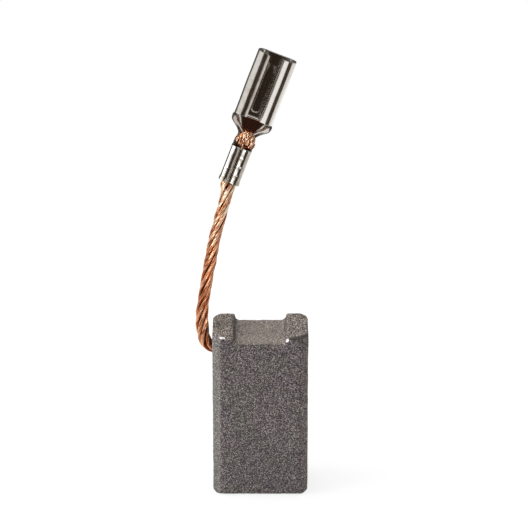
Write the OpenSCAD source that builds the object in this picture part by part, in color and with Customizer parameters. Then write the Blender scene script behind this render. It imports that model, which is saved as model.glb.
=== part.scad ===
// Carbon brush of the 5 x 8 mm class for power tools. A pressed carbon block carries a laid
// copper pigtail, tamped into its side, and the pigtail ends in a folded push-on receptacle.
// The block stands upright: its contact face is at z = 0 and the channel for the brush spring
// runs across its top, front to back. Millimetres.

/* [Carbon block] */
// Width of the block, across the spring channel
block_w = 8; // [7.8:0.1:8.1]
// Depth of the block, along the spring channel
block_d = 5; // [4.4:0.1:6]
// Length of the block, from its contact face to the top of its ears
block_l = 14.8; // [14.6:0.1:15.2]
// Chamfer along the four long edges
edge_chamfer = 0.65; // [0.3:0.05:0.8]
// Chamfer round the contact face
foot_chamfer = 0.25; // [0.1:0.05:0.4]
// Chamfer round the top of the ears
ear_chamfer = 0.12; // [0.05:0.01:0.2]

/* [Spring channel] */
// Width of the channel between the ears
channel_w = 4.3; // [3.6:0.1:4.6]
// Depth of the channel below the ears
channel_depth = 0.62; // [0.3:0.02:0.7]
// Radius between the floor and the walls of the channel
channel_fillet = 0.4; // [0.1:0.05:0.5]

/* [Pigtail anchor] */
// Diameter of the hole drilled for the pigtail
bore_d = 1.9; // [1.6:0.1:2]
// Depth of the hole, without its drill point
bore_depth = 3.2; // [3:0.1:3.6]
// Height of the hole above the contact face
bore_z = 12.8; // [12.75:0.05:12.9]

/* [Pigtail] */
// Diameter of one bunch of wires
strand_d = 0.33; // [0.28:0.01:0.33]
// Length along the rope for one full turn of a bunch
lay_length = 8.5; // [7:0.5:12]
// Sides of a bunch
strand_sides = 8; // [6:1:10]

/* [Terminal] */
// Thickness of the brass sheet
sheet = 0.28; // [0.24:0.01:0.28]
// Width across the two rolls of the receptacle
receptacle_w = 3.3; // [3.3:0.05:3.6]
// Length of the rolls
receptacle_l = 5.7; // [5:0.1:6.4]
// Outer diameter of a roll
roll_d = 1.36; // [1.3:0.02:1.5]
// How far round each roll is curled, in degrees from the base
roll_sweep = 242; // [236:2:252]
// Width of the conductor crimp
crimp_w = 1.7; // [1.65:0.05:1.9]
// Length of the conductor crimp
crimp_l = 3.1; // [2.5:0.1:3.4]
// Length of the open trough between the crimp and the receptacle
trough_l = 2.5; // [2.2:0.1:3]
// Lean of the terminal to the right, in degrees
lean_right = 21.5; // [18:0.5:23]
// Lean of the terminal to the back, in degrees
lean_back = 11.5; // [8:0.5:14]
// Turn of the terminal about its own axis, in degrees
terminal_turn = -5; // [-12:1:5]

/* [Hidden] */
$fn = 64;
eps = 0.01;
fit = 0.005; // gap left between pieces that are pressed together

carbon_colour = [0.36, 0.35, 0.35];
powder_colour = [0.55, 0.33, 0.24];
copper_colour = [0.80, 0.49, 0.34];
tin_colour = [0.74, 0.73, 0.70];

// Carbon block, derived
floor_z = block_l - channel_depth;
bore_r = bore_d / 2;
drill_point = bore_r * tan(31); // a 118 degree drill
break_along = 1.6; // the corner broken off the right ear, along its front edge
break_back = 1.1; // along its side edge
break_drop = 0.45; // and down its front face

// Pigtail, derived
strand_count = 6;
strand_gap = 0.015;
lay_r = strand_d + strand_gap; // centre of the rope to centre of an outer bunch
rope_r = lay_r + strand_d / 2;
steps_per_span = 3;

// Terminal, derived. Its own frame has the base of the sheet at +y, the curled side at -y and
// the mouth of the receptacle at +z. The crimp starts at z = 0, and the rope enters at y = 0.
crimp_h = 1.48;
base_y = crimp_h / 2;
roll_r = roll_d / 2;
roll_x = receptacle_w / 2 - roll_r;
roll_y = base_y - roll_r;
neck_z = crimp_l;
rolls_z = crimp_l + trough_l;
mouth_z = rolls_z + receptacle_l;
crimp_corner_r = 0.45;
lobe_r = crimp_w / 4 + fit; // the two folded wings just meet
tuft_l = 1.5; // bunches cut off above the crimp
terminal_at = [-2.6, 1.4, 27.2]; // the lower end of the crimp
mouth_r = 0.3; // rounding of the rolls' inner corners at the mouth
bead_w = 0.76;
bead_l = 4.1;
bead_h = 0.1;
bead_z = rolls_z + 0.5 + bead_l / 2;
stop_r = 0.12; // half thickness of the rib that stops the tab
trough_step = 0.1; // sections of the trough, as parts of its length
trough_overlap = 0.2; // how far the trough runs on inside the crimp and the rolls
arc_steps = 6; // facets of the bend between the floor and a wall of the trough

// Centre line of the pigtail: out of the hole, up beside the block and over to the terminal
free_route = [
    [-1.2, 0, bore_z],
    [-2.1, 0, bore_z],
    [-3, 0, bore_z],
    [-3.8, 0, bore_z],
    [-4.35, 0, 13.05],
    [-4.7, 0, 13.65],
    [-4.85, 0, 14.55],
    [-4.9, 0, 15.55],
    [-4.8, 0.1, 16.65],
    [-4.6, 0.2, 17.95],
    [-4.4, 0.3, 19.25],
    [-4.15, 0.4, 20.55],
    [-3.9, 0.55, 21.85],
    [-3.6, 0.7, 23.15],
    [-3.25, 0.9, 24.45],
    [-2.9, 1.15, 25.75]
];

function unit(v) = v / norm(v);
function smooth(t) = let (c = min(max(t, 0), 1)) c * c * (3 - 2 * c);

// A point of the terminal's frame, in the frame of the part
function turned(p) = [
    p.x * cos(terminal_turn) - p.y * sin(terminal_turn),
    p.x * sin(terminal_turn) + p.y * cos(terminal_turn),
    p.z];
function leant_back(p) = [
    p.x,
    p.y * cos(lean_back) + p.z * sin(lean_back),
    p.z * cos(lean_back) - p.y * sin(lean_back)];
function leant_right(p) = [
    p.x * cos(lean_right) + p.z * sin(lean_right),
    p.y,
    p.z * cos(lean_right) - p.x * sin(lean_right)];
function placed(p) = terminal_at + leant_right(leant_back(turned(p)));

// The rope runs straight through the crimp, and its cut end lifts off the floor of the trough
crimp_route = [for (part = [0 : 3]) placed([0, 0, crimp_l * part / 3])];
tuft_route = [placed([0, -0.06, crimp_l + tuft_l / 2]), placed([0, -0.15, crimp_l + tuft_l])];
route = concat(free_route, crimp_route, tuft_route);
last = len(route) - 1;
crimp_from = len(free_route); // the route point at the lower end of the crimp
tuft_from = crimp_from + 3;

// A smooth curve through the route: u = 0 at its first point, and 1 more at each next point
function route_point(i) = i < 0 ? 2 * route[0] - route[1]
    : i > last ? 2 * route[last] - route[last - 1]
    : route[i];
function on_route(u) = let (
    i = min(floor(u), last - 1),
    t = u - i,
    a = route_point(i - 1),
    b = route_point(i),
    c = route_point(i + 1),
    d = route_point(i + 2))
    ((2 * b) + (c - a) * t + (2 * a - 5 * b + 4 * c - d) * t * t
        + (3 * b - a - 3 * c + d) * t * t * t) / 2;
function along(u) = unit(on_route(min(u + eps, last)) - on_route(max(u - eps, 0)));

ring_count = last * steps_per_span + 1;
ring_u = [for (i = [0 : ring_count - 1]) i / steps_per_span];
ring_at = [for (u = ring_u) on_route(u)];
ring_s = [for (i = 0, s = 0; i < ring_count;
    s = s + (i + 1 < ring_count ? norm(ring_at[i + 1] - ring_at[i]) : 0), i = i + 1) s];

// How the rope changes along its route. The bend at the block loosens it, the crimp presses it
// into an oval, and its cut end spreads.
function in_bend(u) = smooth((u - 3.5) / 1.5) * (1 - smooth((u - 6) / 3));
function in_crimp(u) = smooth((u - crimp_from + 0.6) / 0.5);
function in_tuft(u) = smooth(u - tuft_from - 1);
function width_r(u) = lay_r * (1 + 0.09 * in_bend(u)) + 0.03 * in_crimp(u) + 0.1 * in_tuft(u);
function height_r(u) = lay_r * (1 + 0.09 * in_bend(u)) - 0.04 * in_crimp(u) + 0.1 * in_tuft(u);
function bunch_r(u) = strand_d / 2 * (1 - 0.11 * in_crimp(u) + 0.2 * in_tuft(u));

// A ring of one bunch, square to the rope. turn is the bunch's place round the rope, and a
// spread of 0 keeps it in the middle.
function ring(i, turn, spread) = let (
    u = ring_u[i],
    t = along(u),
    back = unit([0, 1, 0] - t * t.y),
    side = cross(t, back),
    phase = turn + 360 * ring_s[i] / lay_length,
    centre = ring_at[i] + spread * (side * width_r(u) * sin(phase) + back * height_r(u) * cos(phase)))
    [for (k = [0 : strand_sides - 1]) let (a = phase + 360 * k / strand_sides)
        centre + bunch_r(u) * (side * sin(a) + back * cos(a))];

// A closed solid through rings that have the same number of points
module loft(rings) {
    n = len(rings[0]);
    sides = [for (i = [0 : len(rings) - 2]) for (k = [0 : n - 1]) for (half = [0, 1])
        let (a = i * n + k, b = i * n + (k + 1) % n)
            half == 0 ? [a, a + n, b + n] : [a, b + n, b]];
    first = [for (k = [0 : n - 1]) k];
    final = [for (k = [n - 1 : -1 : 0]) (len(rings) - 1) * n + k];
    polyhedron(points = [for (r = rings) each r], faces = concat([first, final], sides));
}

module laid_strand(turn, spread) {
    color(copper_colour) loft([for (i = [0 : ring_count - 1]) ring(i, turn, spread)]);
}

module core_strand() laid_strand(0, 0);

module outer_strand(number) laid_strand(360 * number / strand_count, 1);

// The block

// Outline of the block seen along one of its level axes, with its foot and top edges eased
module eased_outline(width) {
    half = width / 2;
    polygon([
        [-half + foot_chamfer, 0],
        [half - foot_chamfer, 0],
        [half, foot_chamfer],
        [half, block_l - ear_chamfer],
        [half - ear_chamfer, block_l],
        [-half + ear_chamfer, block_l],
        [-half, block_l - ear_chamfer],
        [-half, foot_chamfer]]);
}

module block_section() {
    x = block_w / 2;
    y = block_d / 2;
    c = edge_chamfer;
    polygon([
        [x - c, -y], [x, c - y], [x, y - c], [x - c, y],
        [c - x, y], [-x, y - c], [-x, c - y], [c - x, -y]]);
}

module block_bar() {
    intersection() {
        linear_extrude(height = block_l) block_section();
        rotate([90, 0, 0]) linear_extrude(height = block_d, center = true) eased_outline(block_w);
        rotate([90, 0, 90]) linear_extrude(height = block_w, center = true) eased_outline(block_d);
    }
}

module spring_channel() {
    half = channel_w / 2;
    top = channel_depth + eps;
    lip = half + ear_chamfer + eps;
    flare_y = channel_depth - ear_chamfer;
    translate([0, 0, floor_z]) rotate([90, 0, 0])
        linear_extrude(height = block_d + 1, center = true) union() {
            translate([-half, channel_fillet]) square([channel_w, top - channel_fillet]);
            translate([channel_fillet - half, 0]) square([channel_w - 2 * channel_fillet, top]);
            for (side = [-1, 1])
                translate([side * (half - channel_fillet), channel_fillet]) circle(channel_fillet);
            polygon([[-half, flare_y], [half, flare_y], [lip, top], [-lip, top]]);
        }
}

// The drilled hole, from the left face inwards
module bore(radius, depth) {
    translate([-block_w / 2, 0, bore_z]) rotate([0, 90, 0]) {
        translate([0, 0, -eps]) cylinder(r = radius, h = depth + eps);
        translate([0, 0, depth]) cylinder(r1 = radius, r2 = 0, h = drill_point);
    }
}

// The corner broken off the right ear
module broken_corner() {
    corner = [block_w / 2, -block_d / 2, block_l];
    polyhedron(
        points = [
            corner + [-break_along, -eps, eps],
            corner + [eps, break_back, eps],
            corner + [eps, -eps, eps],
            corner + [eps, -eps, -break_drop]],
        faces = [[0, 1, 2], [0, 3, 1], [0, 2, 3], [1, 3, 2]]);
}

module carbon_block() {
    color(carbon_colour) difference() {
        block_bar();
        spring_channel();
        bore(bore_r, bore_depth);
        broken_corner();
    }
}

// Copper powder tamped round the rope, with a shallow crater where the rope comes out
module tamping_plug() {
    rope_hole = rope_r + 0.03;
    crater_r = bore_r - 0.15;
    crater_depth = 0.35;
    rope_end = block_w / 2 + free_route[0].x;
    color(powder_colour) difference() {
        translate([-block_w / 2 + fit, 0, bore_z]) rotate([0, 90, 0]) {
            cylinder(r = bore_r - fit, h = bore_depth - fit);
            translate([0, 0, bore_depth - fit]) cylinder(r1 = bore_r - fit, r2 = 0.1, h = drill_point * 0.85);
        }
        translate([-block_w / 2, 0, bore_z]) rotate([0, 90, 0]) {
            translate([0, 0, -eps]) cylinder(r = rope_hole, h = rope_end + fit + eps);
            translate([0, 0, -eps]) cylinder(r1 = crater_r, r2 = rope_hole - eps, h = crater_depth);
        }
    }
}

// The terminal

function direction(angle) = [sin(angle), cos(angle)]; // 0 points at the base

// Half of the receptacle's outline: the flat base and one roll, with a rounded edge at its tip
module roll_section() {
    far = 2 * roll_d;
    translate([0, base_y - sheet]) square([roll_x, sheet]);
    translate([roll_x, roll_y]) {
        difference() {
            circle(roll_r);
            circle(roll_r - sheet);
            polygon([[0, 0], far * direction(roll_sweep), far * direction(310), far * direction(360)]);
        }
        translate((roll_r - sheet / 2) * direction(roll_sweep)) circle(sheet / 2);
    }
}

// What rounds off the inner corner of the right roll at the mouth
module mouth_corner() {
    translate([roll_x - roll_r, roll_y + mouth_r, mouth_z]) rotate([90, 0, 0])
        linear_extrude(height = roll_d) difference() {
            translate([-eps, -mouth_r]) square([mouth_r + eps, mouth_r + eps]);
            translate([mouth_r, -mouth_r]) circle(mouth_r);
        }
}

// A slab with round ends along the base, from depth y to depth y + height
module bead(width, y, height) {
    straight = bead_l - bead_w;
    translate([0, y + height, bead_z]) rotate([90, 0, 0]) linear_extrude(height = height) {
        translate([-width / 2, -straight / 2]) square([width, straight]);
        for (end = [-1, 1]) translate([0, end * straight / 2]) circle(width / 2);
    }
}

module receptacle() {
    difference() {
        translate([0, 0, rolls_z]) linear_extrude(height = receptacle_l) {
            roll_section();
            mirror([1, 0]) roll_section();
        }
        mouth_corner();
        mirror([1, 0, 0]) mouth_corner();
        bead(bead_w - sheet, base_y - bead_h, bead_h + eps);
    }
    // The bead is pressed in from the back, so it stands out inside and grips the tab
    bead(bead_w, base_y - sheet - bead_h, bead_h + eps);
}

// The rib that stops the tab, across the base at the end of the rolls
module tab_stop() {
    translate([0, base_y - sheet + fit, rolls_z]) rotate([0, 90, 0])
        cylinder(r = stop_r, h = 2 * roll_x, center = true);
}

module crimp_outline() {
    half = crimp_w / 2;
    corner_x = half - crimp_corner_r;
    corner_y = base_y - crimp_corner_r;
    lobe_y = lobe_r - base_y;
    translate([-half, lobe_y]) square([crimp_w, corner_y - lobe_y]);
    translate([-corner_x, lobe_y]) square([2 * corner_x, base_y - lobe_y]);
    for (side = [-1, 1]) {
        translate([side * corner_x, corner_y]) circle(crimp_corner_r);
        translate([side * (half - lobe_r), lobe_y]) circle(lobe_r);
    }
}

module crimp_cavity() {
    x = crimp_w / 2 - sheet;
    y = base_y - sheet;
    r = crimp_corner_r - sheet;
    square([2 * x, 2 * (y - r)], center = true);
    square([2 * (x - r), 2 * y], center = true);
    for (side = [-1, 1]) for (end = [-1, 1]) translate([side * (x - r), end * (y - r)]) circle(r);
}

module conductor_crimp() {
    linear_extrude(height = crimp_l) difference() {
        crimp_outline();
        crimp_cavity();
    }
}

// The trough between the crimp and the rolls. part runs from 0 at the crimp to 1 at the rolls.
function mix(a, b, t) = a + (b - a) * t;
function trough_reach(part) = mix(crimp_w, receptacle_w, smooth((part - 0.34) / 0.5)) / 2 - fit;
function trough_floor(part) = mix(crimp_w / 2 - crimp_corner_r, roll_x, part * part);
function trough_curve(part) = mix(crimp_corner_r, roll_r, part);
function trough_rise(part) = 0.05 + 0.6 * (1 - smooth(part / 0.45)) + 0.12 * smooth((part - 0.5) / 0.4);

// Right half of a section of the trough, sunk into the outline by depth: floor, curve and wall
function trough_half(part, depth) = let (
    floor_x = trough_floor(part),
    wide = trough_reach(part) - floor_x,
    high = trough_curve(part),
    y = base_y - fit)
    [for (k = [0 : arc_steps]) let (
        a = 90 * k / arc_steps,
        inward = unit([-high * sin(a), -wide * cos(a)]))
        [floor_x + wide * sin(a), y - high * (1 - cos(a))] + depth * inward,
    [floor_x + wide - depth, y - high - trough_rise(part)]];

// The whole section, from the top of the left wall to the top of the right one
function trough_section(part, z, depth) = let (half = trough_half(part, depth), n = len(half))
    concat([for (k = [n - 1 : -1 : 0]) [-half[k].x, half[k].y, z]], [for (p = half) [p.x, p.y, z]]);

module trough() {
    parts = [for (part = [0 : trough_step : 1 + trough_step / 2]) part];
    inside = concat([[0, neck_z - trough_overlap]],
        [for (part = parts) [part, neck_z + part * trough_l]],
        [[1, rolls_z + trough_overlap]]);
    outer = [for (at = inside) trough_section(at[0], at[1], 0)];
    inner = [for (at = inside) trough_section(at[0], at[1], sheet - 2 * fit)];
    n = len(outer[0]);
    rows = len(outer);
    m = rows * n; // the inner points follow the outer ones
    quads = concat(
        [for (i = [0 : rows - 2]) for (k = [0 : n - 2]) let (a = i * n + k) [a, a + 1, a + n + 1, a + n]],
        [for (i = [0 : rows - 2]) for (k = [0 : n - 2]) let (a = m + i * n + k) [a, a + n, a + n + 1, a + 1]],
        [for (i = [0 : rows - 2]) let (a = i * n) [a, a + n, m + a + n, m + a]],
        [for (i = [0 : rows - 2]) let (a = i * n + n - 1) [a, m + a, m + a + n, a + n]],
        [for (k = [0 : n - 2]) [k, m + k, m + k + 1, k + 1]],
        [for (k = [0 : n - 2]) let (a = m - n + k) [a, a + 1, m + a + 1, m + a]]);
    triangles = [for (q = quads) each [[q[0], q[1], q[2]], [q[0], q[2], q[3]]]];
    polyhedron(points = concat([for (r = outer) each r], [for (r = inner) each r]), faces = triangles);
}

module terminal() {
    color(tin_colour)
        translate(terminal_at) rotate([-lean_back, lean_right, 0]) rotate([0, 0, terminal_turn]) {
            receptacle();
            tab_stop();
            trough();
            conductor_crimp();
        }
}

carbon_block();
tamping_plug();
core_strand();
outer_strand(1);  // strand_1
outer_strand(2);  // strand_2
outer_strand(3);  // strand_3
outer_strand(4);  // strand_4
outer_strand(5);  // strand_5
outer_strand(6);  // strand_6
terminal();
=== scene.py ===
"""Looks of a carbon brush: a pressed carbon block, a laid copper pigtail and a folded receptacle.

Lengths inside the functions are millimetres, as in the part's source. mesh_piece() turns them
into metres.
"""

import math
import random

import bpy
import numpy as np
from mathutils import Matrix, Vector, noise


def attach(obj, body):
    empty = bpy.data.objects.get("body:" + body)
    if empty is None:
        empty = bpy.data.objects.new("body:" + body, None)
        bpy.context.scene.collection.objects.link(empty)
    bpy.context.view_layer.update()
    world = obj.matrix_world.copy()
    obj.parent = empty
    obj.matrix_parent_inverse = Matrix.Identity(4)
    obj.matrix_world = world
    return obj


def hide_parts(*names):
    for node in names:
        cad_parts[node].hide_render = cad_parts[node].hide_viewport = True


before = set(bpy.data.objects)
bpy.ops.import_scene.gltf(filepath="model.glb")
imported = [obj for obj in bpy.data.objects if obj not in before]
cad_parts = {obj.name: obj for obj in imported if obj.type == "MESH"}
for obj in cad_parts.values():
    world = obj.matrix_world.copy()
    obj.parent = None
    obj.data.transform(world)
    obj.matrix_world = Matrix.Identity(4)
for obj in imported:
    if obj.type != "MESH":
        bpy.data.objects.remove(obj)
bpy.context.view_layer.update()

MM = 0.001

# ---------------------------------------------------------------- camera and stage

CAMERA_TARGET = (0.31, 0.0, 20.39)
CAMERA_ELEVATION = 23.76
CAMERA_DISTANCE = 250.0
CAMERA_LENS = 205.2


def make_camera():
    data = bpy.data.cameras.new("camera")
    data.lens = CAMERA_LENS
    data.sensor_width = 36.0
    data.clip_start = 0.01
    data.clip_end = 10.0
    camera = bpy.data.objects.new("camera", data)
    elevation = math.radians(CAMERA_ELEVATION)
    back = Vector((0.0, -math.cos(elevation), math.sin(elevation)))
    camera.location = (Vector(CAMERA_TARGET) + back * CAMERA_DISTANCE) * MM
    camera.rotation_euler = (-back).to_track_quat("-Z", "Y").to_euler()
    bpy.context.scene.collection.objects.link(camera)
    bpy.context.scene.camera = camera


# ---------------------------------------------------------------- node helpers


class Nodes:
    """A short way to write a node tree: every call adds a node and returns its first output."""

    def __init__(self, tree):
        self.tree = tree
        tree.nodes.clear()

    def add(self, kind, inputs=None, output=0, **settings):
        node = self.tree.nodes.new(kind)
        for key, value in settings.items():
            setattr(node, key, value)
        for key, value in (inputs or {}).items():
            self.set(node.inputs[key], value)
        return node.outputs[output] if node.outputs else None

    def set(self, socket, value):
        if isinstance(value, bpy.types.NodeSocket):
            self.tree.links.new(value, socket)
        else:
            socket.default_value = value

    def math(self, operation, a, b=0.0, c=0.0, clamp=False):
        return self.add("ShaderNodeMath", {0: a, 1: b, 2: c}, operation=operation, use_clamp=clamp)

    def span(self, value, low, high, to_low=0.0, to_high=1.0):
        return self.add(
            "ShaderNodeMapRange",
            {"Value": value, "From Min": low, "From Max": high, "To Min": to_low, "To Max": to_high},
            interpolation_type="SMOOTHSTEP",
        )

    def mix(self, factor, a, b, blend="MIX"):
        node = self.tree.nodes.new("ShaderNodeMix")
        node.data_type = "RGBA"
        node.blend_type = blend
        self.set(node.inputs["Factor"], factor)
        self.set(node.inputs[6], a)
        self.set(node.inputs[7], b)
        return node.outputs[2]

    def noise(self, vector, scale, detail=2.0, roughness=0.5, output="Factor"):
        names = {"Factor": 0, "Color": 1}
        return self.add(
            "ShaderNodeTexNoise",
            {"Vector": vector, "Scale": scale, "Detail": detail, "Roughness": roughness},
            output=names[output],
        )


def material(name):
    made = bpy.data.materials.new(name)
    made.use_nodes = True
    return made, Nodes(made.node_tree)


def millimetres(nodes, stretch=(1.0, 1.0, 1.0), turn=(0.0, 0.0, 0.0)):
    """The place on the object in millimetres, turned and stretched for a grain."""
    place = nodes.add("ShaderNodeTexCoord", output=3)
    turned = nodes.add(
        "ShaderNodeMapping", {"Vector": place, "Rotation": turn}, vector_type="POINT"
    )
    scale = tuple(value / MM for value in stretch)
    return nodes.add("ShaderNodeMapping", {"Vector": turned, "Scale": scale}, vector_type="POINT")


def rgb(r, g, b):
    return (r, g, b, 1.0)


# ---------------------------------------------------------------- stage

BACKDROP = rgb(1.0, 1.0, 1.0)
FLOOR_R = 62.0


def seen_by(nodes, *kinds):
    """1 for rays of these kinds."""
    path = nodes.tree.nodes.new("ShaderNodeLightPath")
    total = path.outputs[kinds[0]]
    for kind in kinds[1:]:
        total = nodes.math("MAXIMUM", total, path.outputs[kind])
    return total


def floor_material():
    made, nodes = material("floor")
    diffuse = nodes.add("ShaderNodeBsdfDiffuse", {"Color": rgb(0.93, 0.93, 0.93)})
    bright = nodes.add("ShaderNodeEmission", {"Color": BACKDROP, "Strength": 1.0})
    share = nodes.math("MULTIPLY", seen_by(nodes, "Is Camera Ray", "Is Glossy Ray", "Is Transmission Ray"), 0.8)
    surface = nodes.add("ShaderNodeMixShader", {0: share, 1: diffuse, 2: bright})
    nodes.add("ShaderNodeOutputMaterial", {"Surface": surface})
    return made


def make_floor():
    corners = []
    for k in range(64):
        angle = 2 * math.pi * k / 64
        corners.append((FLOOR_R * MM * math.cos(angle), FLOOR_R * MM * math.sin(angle), 0.0))
    mesh = bpy.data.meshes.new("floor")
    mesh.from_pydata(corners, [], [tuple(range(64))])
    mesh.materials.append(floor_material())
    floor = bpy.data.objects.new("floor", mesh)
    bpy.context.scene.collection.objects.link(floor)


def make_world():
    """A pale studio: bright on the left, less so on the right, dim in front and behind."""
    world = bpy.data.worlds.new("studio")
    bpy.context.scene.world = world
    world.use_nodes = True
    nodes = Nodes(world.node_tree)
    direction = nodes.add("ShaderNodeTexCoord", output=0)
    parts = nodes.tree.nodes.new("ShaderNodeSeparateXYZ")
    nodes.set(parts.inputs[0], direction)
    x, y, z = parts.outputs[0], parts.outputs[1], parts.outputs[2]

    # what metal shows, and what falls on the rest
    shown = nodes.mix(nodes.span(x, -0.35, 0.35), rgb(0.84, 0.83, 0.81), rgb(0.70, 0.68, 0.65))
    shown = nodes.mix(nodes.span(z, 0.35, 0.8), shown, rgb(1.0, 1.0, 1.0))
    falls = nodes.mix(nodes.span(x, -0.6, 0.6), rgb(0.62, 0.62, 0.62), rgb(0.40, 0.40, 0.40))
    shade = nodes.mix(seen_by(nodes, "Is Glossy Ray"), falls, shown)

    # how far a direction is from straight ahead, with a window taller than it is wide
    across = nodes.math("POWER", nodes.math("ABSOLUTE", nodes.math("DIVIDE", x, 0.46)), 3.0)
    up = nodes.math("POWER", nodes.math("ABSOLUTE", nodes.math("DIVIDE", z, 0.80)), 3.0)
    away = nodes.math("ADD", across, up)
    in_front = nodes.math("LESS_THAN", y, 0.0)
    dim = nodes.math("MULTIPLY", nodes.span(away, 1.5, 0.55), in_front)
    shade = nodes.mix(dim, shade, rgb(0.042, 0.030, 0.022))

    to_back = nodes.add(
        "ShaderNodeVectorMath", {0: direction, 1: (-0.45, 0.88, 0.12)}, output=1, operation="DOT_PRODUCT"
    )
    shade = nodes.mix(nodes.span(to_back, 0.66, 0.84), shade, rgb(0.085, 0.088, 0.080))
    shade = nodes.mix(seen_by(nodes, "Is Camera Ray"), shade, BACKDROP)
    background = nodes.add("ShaderNodeBackground", {"Color": shade, "Strength": 1.0})
    nodes.add("ShaderNodeOutputWorld", {"Surface": background})


def area_light(name, place, aim, width, height, watts, mirrored=False):
    data = bpy.data.lights.new(name, "AREA")
    data.shape = "RECTANGLE"
    data.size = width * MM
    data.size_y = height * MM
    data.energy = watts
    light = bpy.data.objects.new(name, data)
    light.location = Vector(place) * MM
    back = Vector(place) - Vector(aim)
    light.rotation_euler = back.to_track_quat("Z", "Y").to_euler()
    light.visible_glossy = mirrored
    light.visible_camera = False
    bpy.context.scene.collection.objects.link(light)


def make_lights():
    aim = (0.0, 0.0, 15.0)
    area_light("left_box", (-290.0, -50.0, 110.0), aim, 240.0, 260.0, 1.15)
    area_light("top_box", (-30.0, 20.0, 320.0), aim, 200.0, 200.0, 0.75)
    # two small lamps close to the crimp and the rope, for them to mirror
    area_light("strip", (-21.4, -0.5, 32.0), (-2.0, 1.5, 28.6), 9.0, 6.0, 0.00038, mirrored=True)
    area_light("wire_light", (-26.5, -17.5, 30.0), (-4.0, 0.5, 21.0), 8.0, 8.0, 0.0010, mirrored=True)


make_camera()
bpy.context.scene.view_settings.view_transform = "Standard"
make_floor()
make_world()
make_lights()


# ---------------------------------------------------------------- mesh helpers


def mesh_piece(name, points, faces, surface, replaces, masks=None, crease=None):
    """A mesh object from points in millimetres, riding on the part's one body.

    masks are numbers from 0 to 1 for each point, which the material reads. crease is the angle
    above which an edge stays sharp.
    """
    mesh = bpy.data.meshes.new(name)
    mesh.from_pydata((np.asarray(points, float) * MM).tolist(), [], faces)
    mesh.materials.append(surface)
    for mask, values in (masks or {}).items():
        layer = mesh.attributes.new(mask, "FLOAT", "POINT")
        layer.data.foreach_set("value", np.asarray(values, np.float32))
    mesh.polygons.foreach_set("use_smooth", [True] * len(mesh.polygons))
    if crease:
        mesh.set_sharp_from_angle(angle=math.radians(crease))
    mesh.update()
    piece = bpy.data.objects.new(name, mesh)
    bpy.context.scene.collection.objects.link(piece)
    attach(piece, "root")
    if replaces:
        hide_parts(*replaces)
    return piece


def join(parts):
    """One list of points and faces from several."""
    points, faces, start = [], [], 0
    for part_points, part_faces in parts:
        points.append(part_points)
        faces.extend(tuple(v + start for v in face) for face in part_faces)
        start += len(part_points)
    return np.concatenate(points), faces


def smooth_step(value):
    t = np.clip(value, 0.0, 1.0)
    return t * t * (3.0 - 2.0 * t)


def unit(vectors):
    return vectors / np.linalg.norm(vectors, axis=-1, keepdims=True)


def wobble(place, seed, size):
    """Smooth noise in about -1 to 1 along a line of places."""
    return np.array([noise.noise(Vector((p / size, seed * 7.31, 0.5))) for p in place]) * 1.6


def grain(points, seed, size):
    """Smooth noise in about -1 to 1 at points in space."""
    moved = np.asarray(points, float) / size + seed * 13.7
    return np.array([noise.noise(Vector(p)) for p in moved.tolist()]) * 1.6


# ---------------------------------------------------------------- terminal's place

TERMINAL_AT = np.array((-2.6, 1.4, 27.2))
LEAN_RIGHT = math.radians(21.5)
LEAN_BACK = math.radians(11.5)
TERMINAL_TURN = math.radians(-5.0)


def placed(points):
    """Points of the terminal's own frame, in the frame of the part."""
    p = np.asarray(points, float)
    x, y, z = p[..., 0], p[..., 1], p[..., 2]
    c, s = math.cos(TERMINAL_TURN), math.sin(TERMINAL_TURN)
    x, y = x * c - y * s, x * s + y * c
    c, s = math.cos(LEAN_BACK), math.sin(LEAN_BACK)
    y, z = y * c + z * s, z * c - y * s
    c, s = math.cos(LEAN_RIGHT), math.sin(LEAN_RIGHT)
    x, z = x * c + z * s, z * c - x * s
    return np.stack((x, y, z), -1) + TERMINAL_AT


# ---------------------------------------------------------------- the pigtail's route

BLOCK_W, BLOCK_D, BLOCK_L = 8.0, 5.0, 14.8
BORE_Z = 12.8
CRIMP_L = 3.1
TUFT_L = 1.5
FREE_ROUTE = [
    (-1.2, 0, BORE_Z),
    (-2.1, 0, BORE_Z),
    (-3, 0, BORE_Z),
    (-3.8, 0, BORE_Z),
    (-4.35, 0, 13.05),
    (-4.7, 0, 13.65),
    (-4.85, 0, 14.55),
    (-4.9, 0, 15.55),
    (-4.8, 0.1, 16.65),
    (-4.6, 0.2, 17.95),
    (-4.4, 0.3, 19.25),
    (-4.15, 0.4, 20.55),
    (-3.9, 0.55, 21.85),
    (-3.6, 0.7, 23.15),
    (-3.25, 0.9, 24.45),
    (-2.9, 1.15, 25.75),
]
CRIMP_ROUTE = [(0, 0, CRIMP_L * part / 3) for part in range(4)]
TUFT_ROUTE = [(0, -0.06, CRIMP_L + TUFT_L / 2), (0, -0.15, CRIMP_L + TUFT_L)]
ROUTE = np.concatenate((np.array(FREE_ROUTE, float), placed(CRIMP_ROUTE + TUFT_ROUTE)))
LAST = len(ROUTE) - 1
CRIMP_FROM = len(FREE_ROUTE)
TUFT_FROM = CRIMP_FROM + 3

STRAND_D = 0.33
LAY_R = STRAND_D + 0.015
LAY_LENGTH = 8.5


def on_route(u):
    """Points of the smooth curve through the route, as in the part's source."""
    ends = (2 * ROUTE[0] - ROUTE[1], 2 * ROUTE[-1] - ROUTE[-2])
    held = np.concatenate(([ends[0]], ROUTE, [ends[1]]))
    i = np.minimum(np.floor(u).astype(int), LAST - 1)
    t = (u - i)[:, None]
    a, b, c, d = held[i], held[i + 1], held[i + 2], held[i + 3]
    cubic = 3 * b - a - 3 * c + d
    square = 2 * a - 5 * b + 4 * c - d
    return (2 * b + (c - a) * t + square * t**2 + cubic * t**3) / 2


def along_route(u):
    eps = 0.01
    return unit(on_route(np.minimum(u + eps, LAST)) - on_route(np.maximum(u - eps, 0)))


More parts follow.
